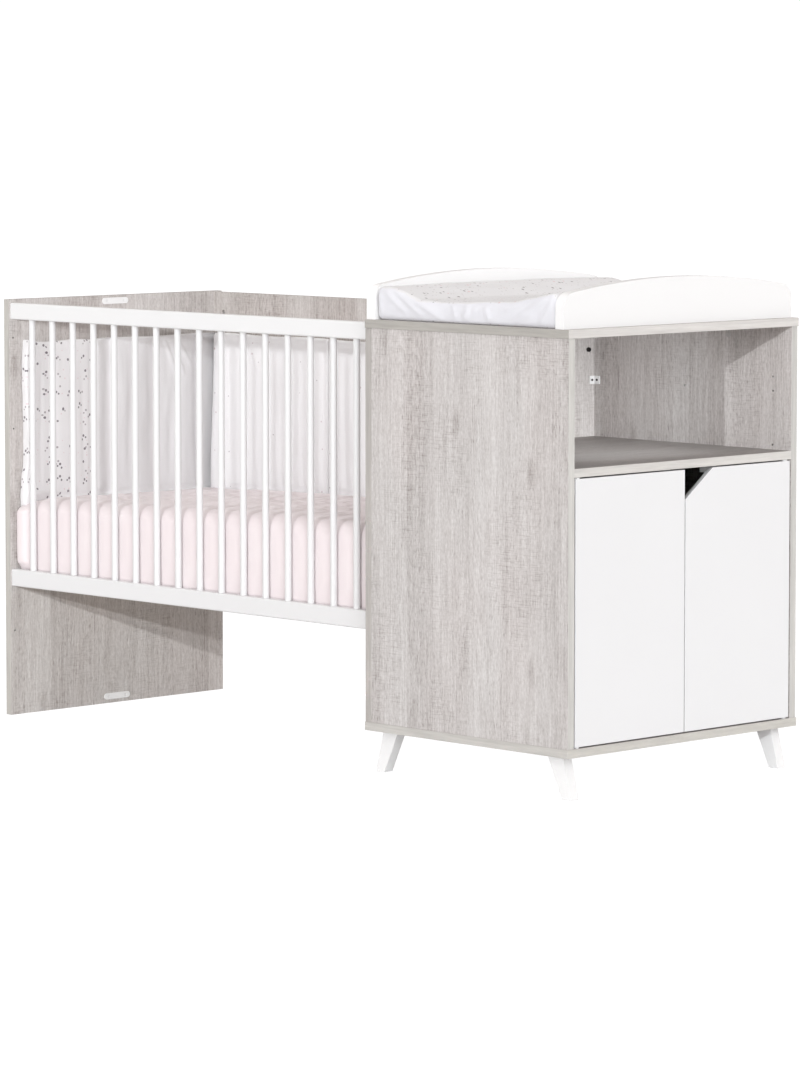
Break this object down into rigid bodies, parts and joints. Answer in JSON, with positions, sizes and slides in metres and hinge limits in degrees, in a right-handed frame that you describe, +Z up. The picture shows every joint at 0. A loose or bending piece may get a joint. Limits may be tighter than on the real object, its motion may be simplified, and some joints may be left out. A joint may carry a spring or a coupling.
{
  "type": "crib with attached changer",
  "caption": "Barred crib joined to a cupboard with changing top, open niche, inset doors, arched guards and splayed feet, with mattress, bumper and changing pad.",
  "frame": {"origin": "on the floor below the middle of the overall box", "axes": "+X along the length towards the changer, -Y the barred front of the crib, +Z up"},
  "size_m": [1.835, 0.712, 1.0689],
  "materials": {
    "grey_oak": "matt wood-grain laminate",
    "white_lacquer": "satin white lacquer",
    "white_plastic": "satin moulded plastic",
    "cap_plastic": "matt moulded plastic",
    "steel": "zinc plated",
    "black_bolt": "black oxide",
    "beech": "raw planed beech",
    "pink_sheet": "fitted cotton sheet",
    "bumper_cloth": "cotton with small dots",
    "pad_cloth": "coated cotton with small dots"
  },
  "bodies": {
    "crib": {"end_panel": "grey_oak", "end_panel_inserts": "white_plastic", "insert_screws": "steel", "crib_back_panel": "grey_oak", "front_top_rail": "white_lacquer", "front_lower_rail": "white_lacquer", "front_bars": "white_lacquer", "crib_bolts": "black_bolt", "barrel_nuts": "steel", "bolt_caps": "cap_plastic", "base_side_rails": "beech", "base_end_rails": "beech", "base_slats": "beech", "base_brackets": "steel", "bracket_screws": "steel", "mattress": "pink_sheet", "bumper_end": "bumper_cloth", "bumper_back": "bumper_cloth", "changer_side_near": "grey_oak", "changer_side_far": "grey_oak", "changer_rear_panel": "grey_oak", "changer_top": "grey_oak", "changer_base": "grey_oak", "niche_shelf": "grey_oak", "cupboard_shelf": "grey_oak", "shelf_pins": "steel", "pivot_pins": "steel", "magnetic_catches": "white_plastic", "guard_front": "white_lacquer", "guard_rear": "white_lacquer", "guard_screws": "steel", "changing_pad": "pad_cloth", "foot_front_near": "white_lacquer", "foot_front_far": "white_lacquer", "foot_rear_near": "white_lacquer", "foot_rear_far": "white_lacquer", "foot_bolts": "steel", "insert_nuts": "steel", "cam_discs": "steel", "cam_bolts": "steel", "dowels": "beech", "panel_screws": "steel", "corner_brackets": "white_plastic", "bracket_rivets": "steel"},
    "near_door": {"door_near": "white_lacquer", "bushes_near": "white_plastic", "strike_plate_near": "steel"},
    "far_door": {"door_far": "white_lacquer", "bushes_far": "white_plastic", "strike_plate_far": "steel"}
  },
  "joints": [
    {"name": "near_door_hinge", "type": "hinge", "parent": "crib", "child": "near_door", "pos_m": [0.9075, -0.322, 0.39], "axis": [0, 0, -1], "range_deg": [0, 95]},
    {"name": "far_door_hinge", "type": "hinge", "parent": "crib", "child": "far_door", "pos_m": [0.9075, 0.322, 0.39], "axis": [0, 0, 1], "range_deg": [0, 95]}
  ]
}
